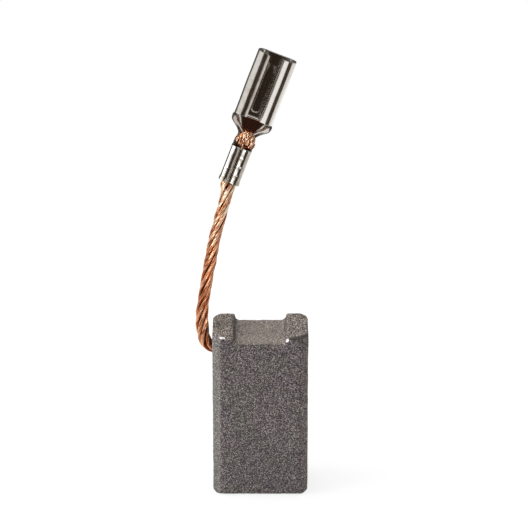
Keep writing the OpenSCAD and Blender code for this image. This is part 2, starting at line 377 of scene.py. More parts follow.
def in_bend(u):
    return smooth_step((u - 3.5) / 1.5) * (1 - smooth_step((u - 6) / 3))


def in_crimp(u):
    return smooth_step((u - CRIMP_FROM + 0.6) / 0.5)


def in_tuft(u):
    return smooth_step(u - TUFT_FROM - 1)


def width_r(u):
    return LAY_R * (1 + 0.09 * in_bend(u)) + 0.03 * in_crimp(u) + 0.1 * in_tuft(u)


def height_r(u):
    return LAY_R * (1 + 0.09 * in_bend(u)) - 0.04 * in_crimp(u) + 0.1 * in_tuft(u)


def bunch_r(u):
    return STRAND_D / 2 * (1 - 0.11 * in_crimp(u) + 0.2 * in_tuft(u))


# ---------------------------------------------------------------- copper wires

WIRE_R = 0.042
WIRES_IN_BUNCH = 10
WIRE_SIDES = 6
BUNCH_LAY = 4.2
RING_STEP = 0.11
ROPE_START = 2.4


def tube(points, along, radius, sides):
    """Points and faces of a round wire along a line, with flat ends."""
    back = unit(np.array((0.0, 1.0, 0.0)) - along * along[:, 1:2])
    side = np.cross(along, back)
    angle = 2 * math.pi * np.arange(sides) / sides
    ring = back[:, None] * np.cos(angle)[:, None] + side[:, None] * np.sin(angle)[:, None]
    radii = np.broadcast_to(radius, (len(points),))[:, None, None]
    rings = points[:, None] + ring * radii
    faces = []
    for i in range(len(points) - 1):
        for k in range(sides):
            a, b = i * sides + k, i * sides + (k + 1) % sides
            faces.append((a, a + sides, b + sides, b))
    faces.append(tuple(range(sides)))
    first = (len(points) - 1) * sides
    faces.append(tuple(first + k for k in reversed(range(sides))))
    return rings.reshape(-1, 3), faces


def rope_places():
    """Even steps along the rope: the length so far, and the place on the route."""
    rough = np.linspace(0, LAST, 2400)
    steps = np.linalg.norm(np.diff(on_route(rough), axis=0), axis=1)
    length = np.concatenate(([0], np.cumsum(steps)))
    s = np.arange(np.interp(ROPE_START, rough, length), length[-1], RING_STEP)
    return s, np.interp(s, length, rough)


def bunch_wires(number, turn, spread):
    """The fine wires of one bunch. turn is its place round the rope; the core has no spread.

    Gives points, faces and two masks: tone, which differs from wire to wire, and hollow_shade_and_oxide,
    which is 1 in the grooves of the rope, for painted shade with some darker oxide there.
    """
    s, u = rope_places()
    along = along_route(u)
    back = unit(np.array((0.0, 1.0, 0.0)) - along * along[:, 1:2])
    side = np.cross(along, back)
    loose = 1 - in_crimp(u)
    # the wires spread just before the crimp
    before = u - CRIMP_FROM + 0.22
    bulge = 1 + 0.33 * np.exp(-((before / np.where(before < 0, 0.45, 0.22)) ** 2))
    phase = math.radians(turn) + 2 * math.pi * s / LAY_LENGTH
    round_rope = phase + loose * 0.14 * wobble(s, number, 2.6)
    swell = 1 + loose * 0.07 * wobble(s, number + 20, 1.9)
    middle = on_route(u)
    # inside the crimp the wings press the wires down
    pressed = smooth_step((u - CRIMP_FROM) / 0.5) * (1 - smooth_step((u - TUFT_FROM + 0.3) / 0.4))
    centre = middle + back * (0.08 * pressed)[:, None]
    if spread:
        wide = width_r(u) + 0.05 * pressed
        high = height_r(u) - 0.12 * pressed
        centre = centre + side * (wide * swell * bulge * np.sin(round_rope))[:, None]
        centre = centre + back * (high * swell * bulge * np.cos(round_rope))[:, None]
    chooser = random.Random(number)
    ending = u < TUFT_FROM + 1.1
    parts = []
    tones = []
    depths = []
    for wire in range(WIRES_IN_BUNCH):
        own = 2 * math.pi * wire / WIRES_IN_BUNCH + phase + 2 * math.pi * s / BUNCH_LAY
        own = own + 0.25 * wobble(s, number * 31 + wire, 1.4)
        lift = (bunch_r(u) - WIRE_R) * (1 + 0.14 * loose * wobble(s, number * 17 + wire + 0.5, 0.9))
        line = centre + side * (lift * np.sin(own))[:, None] + back * (lift * np.cos(own))[:, None]
        line = line[ending]
        points, faces = tube(line, unit(np.gradient(line, axis=0)), WIRE_R, WIRE_SIDES)
        parts.append((points, faces))
        tone = chooser.random() + 0.7 * wobble(s, number * 53 + wire + 0.25, 0.45)
        tones.append(np.repeat(np.clip(tone, 0, 1)[ending], WIRE_SIDES))
        out = np.linalg.norm(points - np.repeat(middle[ending], WIRE_SIDES, axis=0), axis=1)
        depths.append(1 - smooth_step((out - 0.31) / 0.16))
    # the inner wires, which only fill the bunch
    points, faces = tube(centre[ending], along[ending], (bunch_r(u) - 1.5 * WIRE_R)[ending], 8)
    parts.append((points, faces))
    tones.append(np.zeros(len(points)))
    depths.append(np.ones(len(points)))
    points, faces = join(parts)
    return points, faces, {"tone": np.concatenate(tones), "hollow_shade_and_oxide": np.concatenate(depths)}


CUT_WIRES = 260
TUFT_AT = np.array((0.11, -0.16, CRIMP_L + 0.30))
TUFT_SIZE = np.array((0.82, 0.56, 1.10))


def tuft_core():
    """The closely packed inside of the burst end."""
    points, faces = [], []
    rows, turns = 14, 24
    for i in range(rows + 1):
        down = math.pi * i / rows
        for k in range(turns):
            angle = 2 * math.pi * k / turns
            ball = (math.sin(down) * math.cos(angle), math.sin(down) * math.sin(angle), math.cos(down))
            points.append(TUFT_AT + 0.86 * TUFT_SIZE * np.array(ball) * (1.0, 1.0, 0.5 if ball[2] < 0 else 1.0))
    for i in range(rows):
        for k in range(turns):
            a, b = i * turns + k, i * turns + (k + 1) % turns
            faces.append((a, a + turns, b + turns, b))
    return np.array(points), faces


def cut_wires():
    """The rope's cut end behind the crimp, burst open into a rounded brush of wire ends."""
    chooser = random.Random(21)
    points, faces = tuft_core()
    points[:, 1] = np.minimum(points[:, 1], BASE_Y - SHEET - 0.05)
    parts = [(placed(points), faces)]
    tones = [np.zeros(len(points))]
    depths = [np.ones(len(points))]
    t = np.linspace(0, 1, 9)
    for _ in range(CUT_WIRES):
        angle = chooser.uniform(0, 2 * math.pi)
        out = math.sqrt(chooser.random())
        x, y = out * math.cos(angle), out * math.sin(angle)
        height = math.sqrt(max(1 - out**2, 0)) * chooser.uniform(0.80, 1.06)
        end = TUFT_AT + TUFT_SIZE * np.array((x, y, height)) * chooser.uniform(0.96, 1.06)
        start = np.array((0.45 * x, 0.30 * y, CRIMP_L - 0.25))
        swelling = np.array((0.95 * end[0], 0.95 * end[1], (0.55 * end[2] + 0.45 * start[2])))
        lean = np.array([chooser.uniform(-0.10, 0.10), chooser.uniform(-0.08, 0.04), chooser.uniform(-0.06, 0.06)])
        share = t[:, None]
        line = (1 - share) ** 2 * start + 2 * share * (1 - share) * swelling + share**2 * (end + lean)
        line[:, 1] = np.minimum(line[:, 1], BASE_Y - SHEET - 0.05)
        line = placed(line)
        points, faces = tube(line, unit(np.gradient(line, axis=0)), chooser.uniform(0.036, 0.050), WIRE_SIDES)
        parts.append((points, faces))
        tone = chooser.random() + 0.8 * wobble(t * 1.4, chooser.uniform(0, 90), 0.3)
        tones.append(np.repeat(np.clip(tone, 0, 1), WIRE_SIDES))
        # painted shade among the wires of the burst end, less towards their tips
        depth = 0.30 + 0.80 * chooser.random() ** 2 - 0.5 * smooth_step((t - 0.8) / 0.2)
        depths.append(np.repeat(np.clip(depth, 0, 1), WIRE_SIDES))
    points, faces = join(parts)
    return points, faces, {"tone": np.concatenate(tones), "hollow_shade_and_oxide": np.concatenate(depths)}


def copper_material():
    made, nodes = material("copper")
    place = millimetres(nodes)
    tone = nodes.add("ShaderNodeAttribute", output=2, attribute_name="tone")
    hollow_shade_and_oxide = nodes.add("ShaderNodeAttribute", output=2, attribute_name="hollow_shade_and_oxide")
    patch = nodes.noise(place, 0.9, 3.0)
    fine = nodes.noise(place, 14.0, 2.0)
    colour = nodes.mix(nodes.span(tone, 0.1, 0.9), rgb(0.50, 0.20, 0.09), rgb(1.0, 0.82, 0.62))
    colour = nodes.mix(nodes.span(patch, 0.45, 0.7, 0.0, 0.4), colour, rgb(0.86, 0.42, 0.20))
    # the copper is redder and duller towards the block
    height = nodes.tree.nodes.new("ShaderNodeSeparateXYZ")
    nodes.set(height.inputs[0], place)
    aged = nodes.mix(nodes.span(height.outputs[2], 25.5, 20.5), rgb(1.0, 1.0, 1.0), rgb(0.88, 0.62, 0.50))
    colour = nodes.mix(1.0, colour, aged, blend="MULTIPLY")
    # painted shade in the hollows between the wires, with some darker oxide there
    colour = nodes.mix(nodes.math("MULTIPLY", hollow_shade_and_oxide, 0.94), colour, rgb(0.17, 0.042, 0.015))
    colour = nodes.mix(nodes.span(fine, 0.62, 0.8, 0.0, 0.35), colour, rgb(0.36, 0.13, 0.06))
    rough = nodes.span(fine, 0.3, 0.7, 0.20, 0.36)
    bump = nodes.add("ShaderNodeBump", {"Strength": 0.15, "Distance": 0.00001, "Height": fine})
    surface = nodes.add(
        "ShaderNodeBsdfPrincipled",
        {"Base Color": colour, "Metallic": 1.0, "Roughness": rough, "Normal": bump},
    )
    nodes.add("ShaderNodeOutputMaterial", {"Surface": surface})
    return made


def make_pigtail():
    copper = copper_material()
    for number in range(7):
        name = "core_strand" if number == 0 else f"strand_{number}"
        points, faces, masks = bunch_wires(number, 60.0 * number, number > 0)
        label = "core_wires" if number == 0 else f"bunch_{number}"
        mesh_piece(label, points, faces, copper, [name], masks, 50)
    points, faces, masks = cut_wires()
    mesh_piece("cut_wires", points, faces, copper, [], masks, 50)


# ---------------------------------------------------------------- the carbon block

CHANNEL_W, CHANNEL_DEPTH = 4.3, 0.62
FLOOR_Z = BLOCK_L - CHANNEL_DEPTH
BORE_R = 0.95
BREAK_ALONG, BREAK_BACK = 1.6, 1.1
VOXEL = 0.085


def fine_mesh(node):
    """The node's solid as points in millimetres with an even net of small quads."""
    source = bpy.data.objects[node].data.copy()
    points = np.empty(len(source.vertices) * 3)
    source.vertices.foreach_get("co", points)
    source.vertices.foreach_set("co", points / MM)
    helper = bpy.data.objects.new("helper", source)
    bpy.context.scene.collection.objects.link(helper)
    remesh = helper.modifiers.new("net", "REMESH")
    remesh.mode = "VOXEL"
    remesh.voxel_size = VOXEL
    done = bpy.data.meshes.new_from_object(helper.evaluated_get(bpy.context.evaluated_depsgraph_get()))
    points = np.empty(len(done.vertices) * 3)
    done.vertices.foreach_get("co", points)
    faces = [tuple(face.vertices) for face in done.polygons]
    edges = np.empty(len(done.edges) * 2, int)
    done.edges.foreach_get("vertices", edges)
    bpy.data.objects.remove(helper)
    bpy.data.meshes.remove(source)
    bpy.data.meshes.remove(done)
    return points.reshape(-1, 3), faces, edges.reshape(-1, 2)


def relaxed(points, edges, passes):
    """Points moved towards the middle of their neighbours."""
    count = np.bincount(edges.ravel(), minlength=len(points))[:, None]
    for _ in range(passes):
        total = np.zeros_like(points)
        np.add.at(total, edges[:, 0], points[edges[:, 1]])
        np.add.at(total, edges[:, 1], points[edges[:, 0]])
        points = 0.4 * points + 0.6 * total / count
    return points


def mesh_normals(points, faces):
    quads = np.array([face if len(face) == 4 else face + face[:1] for face in faces])
    across = points[quads[:, 2]] - points[quads[:, 0]]
    over = points[quads[:, 3]] - points[quads[:, 1]]
    flat = np.cross(across, over)
    total = np.zeros_like(points)
    for k in range(4):
        np.add.at(total, quads[:, k], flat)
    return total / np.maximum(np.linalg.norm(total, axis=1, keepdims=True), 1e-12)


def cut(points, centre, outward, depth, reach):
    """Flatten the points near centre onto a plane across the edge. Says which ones moved."""
    outward = np.array(outward, float) / np.linalg.norm(outward)
    offset = points - np.array(centre, float)
    high = offset @ outward + depth
    near = (np.linalg.norm(offset, axis=1) < reach) & (high > 0)
    points[near] -= high[near, None] * outward
    return near


def chipped(points):
    """Small chips along the front edges. Says how strongly each chipped point gets the painted highlight, from 0
    to 1.
    """
    chooser = random.Random(5)
    chip_highlight = np.zeros(len(points))
    front = -BLOCK_D / 2
    top = BLOCK_L
    rows = [
        # from, to, number, depth, reach, outward, painted highlight
        ((-3.66, front, top), (-3.05, front, top), 9, 0.10, 0.17, (0, -1, 0.9), 1.0),
        ((-2.76, front, top), (-2.70, front, top), 2, 0.07, 0.12, (0, -1, 0.9), 1.0),
        ((-2.60, front, top), (-2.25, front, top), 4, 0.04, 0.11, (0, -1, 0.9), 0.5),
        ((-1.5, front, FLOOR_Z), (2.0, front, FLOOR_Z), 26, 0.045, 0.12, (0, -1, 1), 0.85),
        ((2.18, front, top - 0.38), (2.42, front, top - 0.04), 5, 0.05, 0.13, (-0.5, -1, 0.8), 0.95),
        ((2.3, front, top - 0.1), (3.6, front, top - 0.1), 7, 0.06, 0.25, (0, -1, 1), 0.1),
        ((-2.2, front, top), (-2.2, -front, top), 5, 0.04, 0.25, (1, 0, 1), 0.1),
        ((2.2, front, top), (2.2, -front, top), 5, 0.05, 0.25, (-1, 0, 1), 0.1),
        ((-3.6, front, 0), (3.6, front, 0), 10, 0.06, 0.25, (0, -1, -1), 0.1),
        ((3.6, front + 0.2, 1), (3.6, front + 0.2, 13), 10, 0.05, 0.25, (1, -1, 0), 0.1),
        ((-3.6, front + 0.2, 1), (-3.6, front + 0.2, 13), 7, 0.04, 0.25, (-1, -1, 0), 0.1),
        ((-3.6, -front, top), (3.6, -front, top), 9, 0.06, 0.25, (0, 1, 1), 0.1),
    ]
    for start, end, number, depth, reach, outward, white in rows:
        for _ in range(number):
            t = chooser.random()
            centre = [a + (b - a) * t for a, b in zip(start, end)]
            tilted = [o + chooser.uniform(-0.35, 0.35) for o in outward]
            size = reach * chooser.uniform(0.65, 1.3)
            moved = cut(points, centre, tilted, depth * chooser.uniform(0.4, 1.3), size)
            chip_highlight[moved] = np.maximum(chip_highlight[moved], white)
    return chip_highlight


def carbon_material():
    made, nodes = material("carbon")
    place = millimetres(nodes)
    chip_highlight = nodes.add("ShaderNodeAttribute", output=2, attribute_name="chip_highlight")
    smooth_floor = nodes.add("ShaderNodeAttribute", output=2, attribute_name="pressed")
    broken = nodes.add("ShaderNodeAttribute", output=2, attribute_name="broken")
    left_rim = nodes.add("ShaderNodeAttribute", output=2, attribute_name="left_rim")
    right_rim = nodes.add("ShaderNodeAttribute", output=2, attribute_name="right_rim")
    normal = nodes.tree.nodes.new("ShaderNodeNewGeometry").outputs["Normal"]
    facing = nodes.tree.nodes.new("ShaderNodeSeparateXYZ")
    nodes.set(facing.inputs[0], normal)
    top_light = nodes.span(facing.outputs[2], 0.35, 0.9)

    # broad tints: purple, green and plain grey, a millimetre or two across
    tint = nodes.noise(place, 0.5, 2.0)
    body = nodes.mix(nodes.span(tint, 0.36, 0.5), rgb(0.083, 0.078, 0.068), rgb(0.089, 0.071, 0.069))
    body = nodes.mix(nodes.span(tint, 0.5, 0.62), body, rgb(0.086, 0.065, 0.077))
    # faces turned upwards get a lighter colour: painted light from above
    body = nodes.mix(top_light, body, rgb(0.141, 0.114, 0.090))

    body = nodes.mix(nodes.math("MULTIPLY", smooth_floor, 0.85), body, rgb(0.195, 0.170, 0.144))

    # the chamfers facing left and right get lighter, tinted colours: painted light from the side lamps
    body = nodes.mix(nodes.math("MULTIPLY", left_rim, 0.8), body, rgb(0.116, 0.114, 0.100))
    body = nodes.mix(nodes.math("MULTIPLY", right_rim, 0.8), body, rgb(0.140, 0.102, 0.098))

    # the grain: dark pits and pale specks a tenth of a millimetre across
    grains = nodes.noise(place, 11.0, 2.0, 0.75)
    specks = nodes.noise(place, 13.0, 1.0, 0.7)
    longer = millimetres(nodes, stretch=(1.0, 0.5, 1.0))
    cell = nodes.add("ShaderNodeTexVoronoi", {"Vector": longer, "Scale": 20.0}, output=1)
    split = nodes.tree.nodes.new("ShaderNodeSeparateColor")
    nodes.set(split.inputs[0], cell)
    cell = split.outputs[0]
    loud = nodes.math("SUBTRACT", 1.0, nodes.math("MULTIPLY", smooth_floor, 0.3))
    loud = nodes.math("SUBTRACT", loud, nodes.math("MULTIPLY", left_rim, 0.3))
    pits = nodes.math("MULTIPLY", nodes.span(cell, 0.44, 0.20), loud)
    colour = nodes.mix(pits, body, rgb(0.014, 0.012, 0.013))
    pale = nodes.math("MULTIPLY", nodes.span(cell, 0.72, 0.95), loud)
    colour = nodes.mix(pale, colour, rgb(0.46, 0.405, 0.385))
    # painted shade darkens the foot a little
    height = nodes.tree.nodes.new("ShaderNodeSeparateXYZ")
    nodes.set(height.inputs[0], place)
    foot_shade = nodes.span(height.outputs[2], 0.0, 9.0, 0.86, 1.0)
    colour = nodes.mix(1.0, colour, foot_shade, blend="MULTIPLY")

    # the chips get a painted highlight, nearly white; the wall of the break and the channel's left wall get
    # painted shade, and the pits along the channel are dark
    ragged = nodes.span(nodes.noise(place, 8.0, 2.0), 0.36, 0.46)
    white = nodes.math("MULTIPLY", nodes.span(chip_highlight, 0.3, 0.9), ragged)
    colour = nodes.mix(white, colour, rgb(0.85, 0.83, 0.80))
    colour = nodes.mix(nodes.math("MULTIPLY", broken, 0.85), colour, rgb(0.030, 0.026, 0.026))

    fine = nodes.noise(place, 16.0, 2.0, 0.6)
    height = nodes.math("ADD", nodes.math("MULTIPLY", grains, 0.7), nodes.math("MULTIPLY", fine, 0.3))
    bump = nodes.add("ShaderNodeBump", {"Strength": 0.6, "Distance": 0.00006, "Height": height})
    rough = nodes.span(specks, 0.4, 0.75, 0.82, 0.52)
    surface = nodes.add(
        "ShaderNodeBsdfPrincipled",
        {"Base Color": colour, "Roughness": rough, "Normal": bump},
    )
    nodes.add("ShaderNodeOutputMaterial", {"Surface": surface})
    return made


def make_block():
    points, faces, edges = fine_mesh("carbon_block")
    points = relaxed(points, edges, 2)
    # edges crumble unevenly: the sharper the edge, the more it loses
    round_off = relaxed(points, edges, 8) - points
    crumble = smooth_step(0.5 + 0.8 * grain(points, 3, 0.45))
    points = points + round_off * (0.05 + 0.7 * crumble)[:, None]
    chip_highlight = chipped(points)
    normals = mesh_normals(points, faces)
    x, y, z = points.T
    on_floor = smooth_step((FLOOR_Z + 0.12 - z) / 0.1) * smooth_step((z - FLOOR_Z + 0.2) / 0.1)
    on_floor = on_floor * smooth_step((CHANNEL_W / 2 - 0.05 - abs(x)) / 0.2)
    pressed = on_floor * smooth_step((normals[:, 2] - 0.7) / 0.2)
    rough = 0.012 * grain(points, 1, 0.2) + 0.010 * grain(points, 2, 0.11) + 0.02 * grain(points, 4, 1.6)
    points = points + normals * (rough * (1 - 0.6 * pressed))[:, None]
    points[:, 2] = np.maximum(points[:, 2], 0.0)
    # the wall of the break below the top, painted dark as shade, and dark pits along the front edge of the channel
    below = BLOCK_L - z
    start = BLOCK_W / 2 - BREAK_ALONG
    back = -BLOCK_D / 2 + BREAK_BACK * (x - start) / BREAK_ALONG
    broken = smooth_step((x - start + 0.1) / 0.15) * smooth_step((back + 0.2 - y) / 0.1)
    broken = broken * smooth_step((below - 0.03) / 0.05) * (1 - smooth_step((below - 0.20) / 0.08))
    lip = np.hypot(y + BLOCK_D / 2, z - FLOOR_Z)
    pits = smooth_step((0.16 - lip) / 0.06) * smooth_step((grain(points, 8, 0.10) - 0.15) / 0.2) * (abs(x) < 2.0)
    # the channel's left wall lies in shade, and gets painted shade under its rim
    wall = smooth_step((normals[:, 0] - 0.45) / 0.2) * (x < 0) * smooth_step((z - FLOOR_Z - 0.12) / 0.1) * (x > -3)
    broken = np.maximum(np.maximum(broken, pits), 0.75 * wall)
    # masks for the painted light on the chamfers facing left and right
    front_facing = smooth_step((-normals[:, 1] - 0.2) / 0.2)
    left_rim = smooth_step((-normals[:, 0] - 0.35) / 0.25) * front_facing
    right_rim = smooth_step((normals[:, 0] - 0.35) / 0.25) * front_facing
    masks = {"chip_highlight": chip_highlight, "pressed": pressed, "broken": broken, "left_rim": left_rim, "right_rim": right_rim}
    mesh_piece("block_body", points, faces, carbon_material(), ["carbon_block"], masks)


# ---------------------------------------------------------------- the tamped powder


def powder_material():
    made, nodes = material("copper_powder")
    place = millimetres(nodes)
    grains = nodes.noise(place, 9.0, 2.0, 0.6)
    colour = nodes.mix(nodes.span(grains, 0.35, 0.65), rgb(0.10, 0.06, 0.045), rgb(0.42, 0.21, 0.13))
    bump = nodes.add("ShaderNodeBump", {"Strength": 0.7, "Distance": 0.00005, "Height": grains})
    surface = nodes.add(
        "ShaderNodeBsdfPrincipled",
        {"Base Color": colour, "Metallic": 0.35, "Roughness": 0.6, "Normal": bump},
    )
    nodes.add("ShaderNodeOutputMaterial", {"Surface": surface})
    return made


def make_plug():
    """A grainy ring of powder round the rope, with a crater, closed behind."""
    hole_r = LAY_R + STRAND_D / 2 + 0.03
    crater_r = BORE_R - 0.15
    outer_r = BORE_R - 0.01
    profile = [(0.9, hole_r), (0.35, hole_r)]
    profile += [(0.35 * (1 - t), hole_r + (crater_r - hole_r) * t) for t in np.linspace(0.1, 1, 8)]
    profile += [(0.02, crater_r + 0.05), (0.03, outer_r - 0.04), (0.08, outer_r), (0.9, outer_r)]
    turns = 72
    points, faces = [], []
    for depth, radius in profile:
        for k in range(turns):
            angle = 2 * math.pi * k / turns
            points.append((-BLOCK_W / 2 + depth, radius * math.cos(angle), BORE_Z + radius * math.sin(angle)))
    rows = len(profile)
    for i in range(rows):
        for k in range(turns):
            a, b = i * turns + k, i * turns + (k + 1) % turns
            c, d = (i + 1) % rows * turns + (k + 1) % turns, (i + 1) % rows * turns + k
            faces.append((a, b, c, d))
    points = np.array(points)
    front = smooth_step((-BLOCK_W / 2 + 0.6 - points[:, 0]) / 0.3)
    points[:, 0] += front * 0.05 * (grain(points, 6, 0.16) + 0.5)
    mesh_piece("powder_ring", points, faces, powder_material(), ["tamping_plug"])


# ---------------------------------------------------------------- the terminal

SHEET = 0.28
EDGE_R = 0.05
RECEPTACLE_W, RECEPTACLE_L = 3.3, 5.7
CRIMP_W, CRIMP_H = 1.7, 1.48
CRIMP_CORNER_R = 0.45
BASE_Y = CRIMP_H / 2
ROLL_R = 0.68
ROLL_X = RECEPTACLE_W / 2 - ROLL_R
TROUGH_L = 2.5
ROLLS_Z = CRIMP_L + TROUGH_L
MOUTH_Z = ROLLS_Z + RECEPTACLE_L
MOUTH_R = 0.3
BEAD_W, BEAD_L, BEAD_H = 0.76, 4.1, 0.1
BEAD_X = -0.10
BEAD_Z = ROLLS_Z + 0.5 + BEAD_L / 2
MID_Y = BASE_Y - SHEET / 2


def edge_steps(length, step):
    """Places from 0 to length, about a step apart, with closer ones at both rounded ends."""
    close = EDGE_R * np.array((0.0, 0.08, 0.3, 0.65, 1.0, 1.6))
    count = max(int((length - 2 * close[-1]) / step), 2)
    inside = np.linspace(close[-1], length - close[-1], count + 1)[1:-1]
    return np.concatenate((close, inside, length - close[::-1]))


def sheet_solid(middle, to_edge, thickness=SHEET):
    """A closed sheet round a net of points, with rounded edges.

    to_edge is the way from each point to the nearest free edge. Gives points, faces and a mask
    that is 1 on the cut edges.
    """
    rows, cols = middle.shape[:2]
    normal = unit(np.cross(np.gradient(middle, axis=0), np.gradient(middle, axis=1)))
    inside = np.minimum(to_edge, EDGE_R)
    half = thickness / 2 - EDGE_R + np.sqrt(np.maximum(EDGE_R**2 - (EDGE_R - inside) ** 2, 0))
    outer = middle + normal * half[..., None]
    inner = middle - normal * half[..., None]
    points = np.concatenate((outer.reshape(-1, 3), inner.reshape(-1, 3)))
    n = rows * cols
    faces = []
    for i in range(rows - 1):
        for j in range(cols - 1):
            a = i * cols + j
            quad = (a, a + cols, a + cols + 1, a + 1)
            faces.append(quad)
            faces.append(tuple(n + v for v in reversed(quad)))
    for j in range(cols - 1):
        a, b = j, j + 1
        faces.append((a, b, n + b, n + a))
        a, b = (rows - 1) * cols + j + 1, (rows - 1) * cols + j
        faces.append((a, b, n + b, n + a))
    for i in range(rows - 1):
        a, b = (i + 1) * cols, i * cols
        faces.append((a, b, n + b, n + a))
        a, b = i * cols + cols - 1, (i + 1) * cols + cols - 1
        faces.append((a, b, n + b, n + a))
    edge = (1 - smooth_step(to_edge / EDGE_R)).reshape(-1)
    return points, faces, np.concatenate((edge, edge))


def bent_path(lengths_and_turns):
    """A strip bent as listed: for each stretch its length and how far it turns, in degrees.

    Gives a function from the length along it to the place, which starts at (0, 0) towards +x and
    turns towards -y.
    """
    step = 0.002
    heading, headings = 0.0, []
    for length, turn in lengths_and_turns:
        count = max(int(round(length / step)), 1)
        headings.append(heading + turn * (np.arange(count) + 0.5) / count)
        heading += turn
    angle = np.radians(np.concatenate(headings))
    # the press leaves no sudden change of bend
    kernel = np.ones(41) / 41
    angle = np.convolve(np.pad(angle, 20, mode="edge"), kernel, mode="valid")
    x = np.concatenate(([0], np.cumsum(np.cos(angle)) * step))
    y = np.concatenate(([0], np.cumsum(-np.sin(angle)) * step))
    s = np.arange(len(x)) * step
    return s[-1], lambda at: (np.interp(at, s, x), np.interp(at, s, y))


def arc(radius, turn):
    return (radius * math.radians(turn), turn)


def receptacle():
    roll = ROLL_R - SHEET / 2
    left_end, left = bent_path([(ROLL_X, 0), arc(roll, 190), arc(0.9, 18)])
    right_end, right = bent_path(
        [(ROLL_X + 0.06, 0), arc(0.48, 90), (0.31, 0), arc(0.28, 90), (0.07, 0), arc(0.40, 30), arc(0.95, 32), (0.24, 0)]
    )
    total = left_end + right_end
    s = edge_steps(total, 0.045) - left_end
    x_left, y_left = left(np.maximum(-s, 0))
    x_right, y_right = right(np.maximum(s, 0))
    x = np.where(s < 0, -x_left, x_right)
    y = MID_Y + np.where(s < 0, y_left, y_right)
    # the mouth falls away towards the tips of the rolls, and their corners are rounded
    to_tip = np.minimum(s + left_end, right_end - s)
    corner = MOUTH_R - np.sqrt(np.maximum(MOUTH_R**2 - np.maximum(MOUTH_R - to_tip, 0) ** 2, 0))
    height = RECEPTACLE_L - 0.16 * smooth_step((2.0 - to_tip) / 1.6) - corner
    share = edge_steps(RECEPTACLE_L, 0.05) / RECEPTACLE_L
    z = ROLLS_Z + share[:, None] * height[None, :]
    middle = np.stack((np.broadcast_to(x, z.shape), np.broadcast_to(y, z.shape), z), -1)
    to_end = np.minimum(share, 1 - share)[:, None] * height[None, :]
    to_edge = np.maximum(np.minimum(to_tip[None, :], to_end), 0)

    # the bead pressed in from the back, a stadium with sloped walls, a little wider at the top
    straight = (BEAD_L - BEAD_W) / 2
    along = middle[..., 2] - BEAD_Z
    beyond = np.maximum(abs(along) - straight, 0)
    half = BEAD_W / 2 + 0.03 * along / straight
    away = np.hypot(middle[..., 0] - BEAD_X, beyond) - half
    slope = 0.12 + 0.5 * smooth_step((along - straight + 0.3) / 0.5)
    on_base = (middle[..., 1] > MID_Y - 0.02) & (abs(middle[..., 0]) < ROLL_X)
    middle[..., 1] -= BEAD_H * smooth_step(-away / slope + 0.5) * on_base
    # hand-worn sheet is never quite true
    shape = middle.reshape(-1, 3)
    bow = 0.012 * grain(shape * (1, 1, 0.4), 11, 0.9)
    normal = unit(np.cross(np.gradient(middle, axis=0), np.gradient(middle, axis=1))).reshape(-1, 3)
    middle = (shape + normal * bow[:, None]).reshape(middle.shape)
    points, faces, _ = sheet_solid(middle, to_edge)
    sheared = (1 - smooth_step(to_end / (1.6 * EDGE_R))).reshape(-1)
    # the shoulder of the bead on the right, rubbed by the tab
    shoulder = np.exp(-((away / 0.05) ** 2)) * (middle[..., 0] > BEAD_X + 0.1) * (0.85 - 0.3 * along / straight)
    spot = np.hypot(middle[..., 0] - BEAD_X - 0.38, (along - straight + 0.05) / 1.6)
    shoulder = np.maximum(shoulder, np.exp(-((spot / 0.09) ** 2))) * on_base
    shoulder = shoulder.reshape(-1)
    return points, faces, np.concatenate((sheared, sheared)), np.concatenate((shoulder, shoulder))


def trough():
    """From the back of the crimp, as wide as it, to the rolls, as wide as they are."""
    overlap = 0.2
    sunk = SHEET / 2 + 0.01
    stations = edge_steps(TROUGH_L + 2 * overlap, 0.06) - overlap
    middle = []
    to_edge = []
    for at in stations:
        part = float(np.clip(at / TROUGH_L, 0, 1))
        widen = float(smooth_step((part - 0.34) / 0.5))
        reach = (CRIMP_W + (RECEPTACLE_W - CRIMP_W) * widen) / 2
        reach += 0.16 * float(smooth_step((part - 0.55) / 0.25) * (1 - smooth_step((part - 0.9) / 0.12)))
        floor = CRIMP_W / 2 - CRIMP_CORNER_R
        floor = floor + (ROLL_X - floor) * part**2
        curve = CRIMP_CORNER_R + (ROLL_R - CRIMP_CORNER_R) * part
        rise = 0.05 + 0.6 * (1 - float(smooth_step(part / 0.45)))
        rise = rise + 0.12 * float(smooth_step((part - 0.5) / 0.4))
        # between the crimp and the rolls the walls lean outwards
        flare = 0.34 * float(smooth_step((part - 0.15) / 0.3) * (1 - smooth_step((part - 0.8) / 0.2)))
        turn = np.linspace(0, math.pi / 2, 24)
        wide = reach - flare - floor
        inward = unit(np.stack((-curve * np.sin(turn), -wide * np.cos(turn)), -1))
        x = floor + wide * np.sin(turn) + sunk * inward[:, 0]
        y = BASE_Y - curve * (1 - np.cos(turn)) + sunk * inward[:, 1]
        x = np.concatenate(([0], x, [x[-1] + flare]))
        y = np.concatenate(([BASE_Y - sunk], y, [y[-1] - rise]))
        way = np.concatenate(([0], np.cumsum(np.hypot(np.diff(x), np.diff(y)))))
        s = edge_steps(2 * way[-1], 2 * way[-1] / 90)
        s = np.interp(np.linspace(0, 1, 90), np.linspace(0, 1, len(s)), s) - way[-1]
        side = np.sign(s)
        px = side * np.interp(abs(s), way, x)
        py = np.interp(abs(s), way, y)
        middle.append(np.stack((px, py, np.full(len(s), CRIMP_L + at)), -1))
        to_edge.append(np.minimum(way[-1] - abs(s), min(at + overlap, TROUGH_L + overlap - at)))
    return sheet_solid(np.array(middle), np.maximum(np.array(to_edge), 0))


